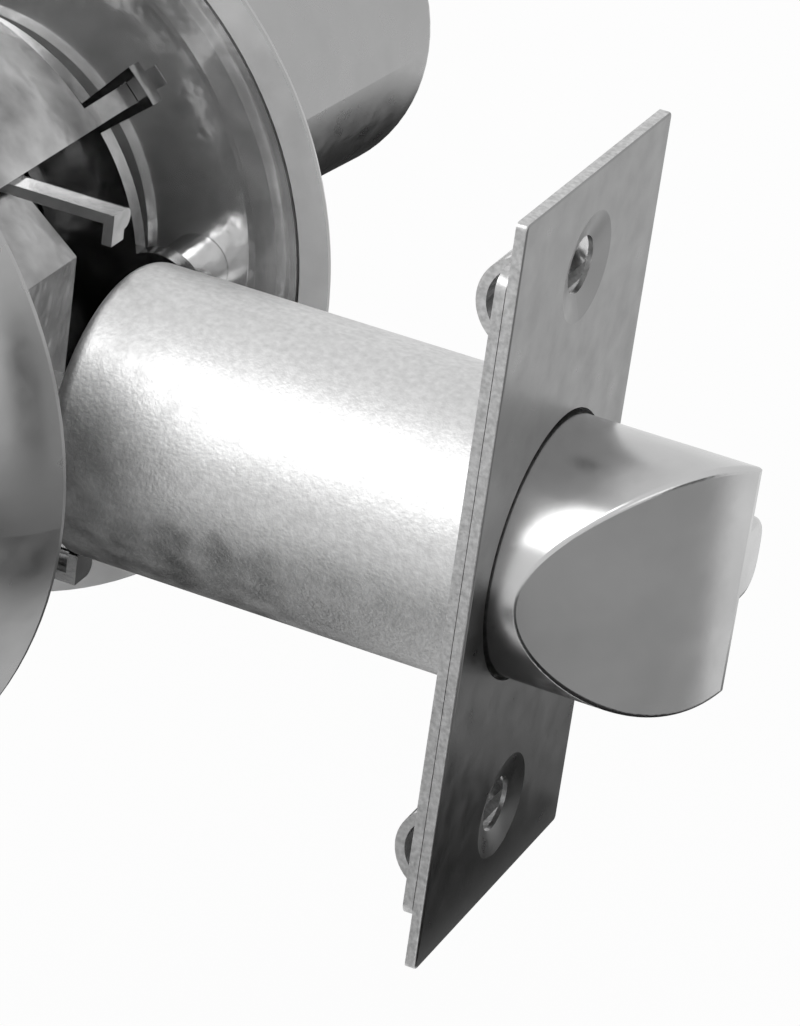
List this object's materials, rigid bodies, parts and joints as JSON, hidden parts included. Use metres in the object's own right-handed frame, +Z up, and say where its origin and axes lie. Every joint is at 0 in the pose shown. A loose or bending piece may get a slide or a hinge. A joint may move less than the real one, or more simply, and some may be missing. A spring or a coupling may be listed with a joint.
{
  "type": "lever door lock",
  "caption": "Lever door lock: bevelled spring latch with deadlatch plunger, sheet-metal chassis, round roses, a key cylinder in the outside lever and a turn button in the inside one.",
  "frame": {"origin": "centre of the faceplate's front face", "axes": "+X out along the latch bolt, +Y towards the inside of the door, +Z up the faceplate"},
  "size_m": [0.1855, 0.1656, 0.0644],
  "materials": {
    "satin_plate": "satin",
    "satin_bolt": "satin nickel, polished by use",
    "zinc_tube": "zinc plated, fine grain",
    "bright_zinc": "bright plated",
    "satin_nickel": "satin",
    "spring_steel": "bright wire",
    "nickelled_brass": "nickel plated"
  },
  "bodies": {
    "lock_case": {"backing_plate": "satin_plate", "bolt_spring": "spring_steel", "chassis_case": "bright_zinc", "faceplate": "satin_plate", "inside_hub_plate": "bright_zinc", "inside_mounting_plate": "bright_zinc", "inside_retaining_ring": "spring_steel", "inside_return_spring": "spring_steel", "inside_rose": "satin_nickel", "latch_tube": "zinc_tube", "mounting_screws": "bright_zinc", "outside_hub_plate": "bright_zinc", "outside_mounting_plate": "bright_zinc", "outside_retaining_ring": "spring_steel", "outside_return_spring": "spring_steel", "outside_rose": "satin_nickel", "plunger_spring": "spring_steel", "retractor_springs": "spring_steel", "screw_posts": "bright_zinc", "tube_end_plate": "zinc_tube"},
    "latch_bolt": {"latch_bolt": "satin_bolt", "latch_tail": "bright_zinc"},
    "deadlatch_plunger": {"deadlatch_plunger": "satin_bolt"},
    "retractor": {"retractor": "bright_zinc"},
    "inside_lever": {"inside_lever": "satin_nickel", "inside_spindle": "bright_zinc", "inside_lever_catch": "spring_steel"},
    "outside_lever": {"outside_lever": "satin_nickel", "outside_spindle": "bright_zinc", "outside_lever_catch": "spring_steel", "key_cylinder": "satin_nickel"},
    "key_plug": {"key_plug": "nickelled_brass", "cylinder_tailpiece": "nickelled_brass"},
    "turn_button": {"turn_button": "satin_nickel", "button_bar": "spring_steel"}
  },
  "joints": [
    {"name": "inside_lever_turn", "type": "hinge", "parent": "lock_case", "child": "inside_lever", "pos_m": [-0.06, 0, 0], "axis": [0, 1, 0], "range_deg": [-55, 0], "stiffness_Nm_per_rad": 0.5, "springref_deg": 57.3},
    {"name": "outside_lever_turn", "type": "hinge", "parent": "lock_case", "child": "outside_lever", "pos_m": [-0.06, 0, 0], "axis": [0, 1, 0], "range_deg": [-55, 0], "stiffness_Nm_per_rad": 0.5, "springref_deg": 57.3},
    {"name": "latch_bolt_slide", "type": "slide", "parent": "lock_case", "child": "latch_bolt", "axis": [1, 0, 0], "range_m": [-0.0128, 0], "deforming": ["bolt_spring"]},
    {"name": "retractor_slide", "type": "slide", "parent": "lock_case", "child": "retractor", "axis": [1, 0, 0], "range_m": [-0.0128, 0], "deforming": ["retractor_springs"]},
    {"name": "deadlatch_plunger_slide", "type": "slide", "parent": "lock_case", "child": "deadlatch_plunger", "axis": [1, 0, 0], "range_m": [-0.0115, 0], "stiffness_N_per_m": 120, "springref_m": 0.012, "deforming": ["plunger_spring"]},
    {"name": "key_plug_turn", "type": "hinge", "parent": "outside_lever", "child": "key_plug", "pos_m": [-0.06, 0, 0], "axis": [0, 1, 0], "range_deg": [0, 90]},
    {"name": "turn_button_turn", "type": "hinge", "parent": "inside_lever", "child": "turn_button", "pos_m": [-0.06, 0, 0], "axis": [0, 1, 0], "range_deg": [0, 90]}
  ],
  "couplings": [
    {"joint": "latch_bolt_slide", "follows": "inside_lever_turn", "m_per_rad": 0.013333},
    {"joint": "retractor_slide", "follows": "inside_lever_turn", "m_per_rad": 0.013333}
  ]
}
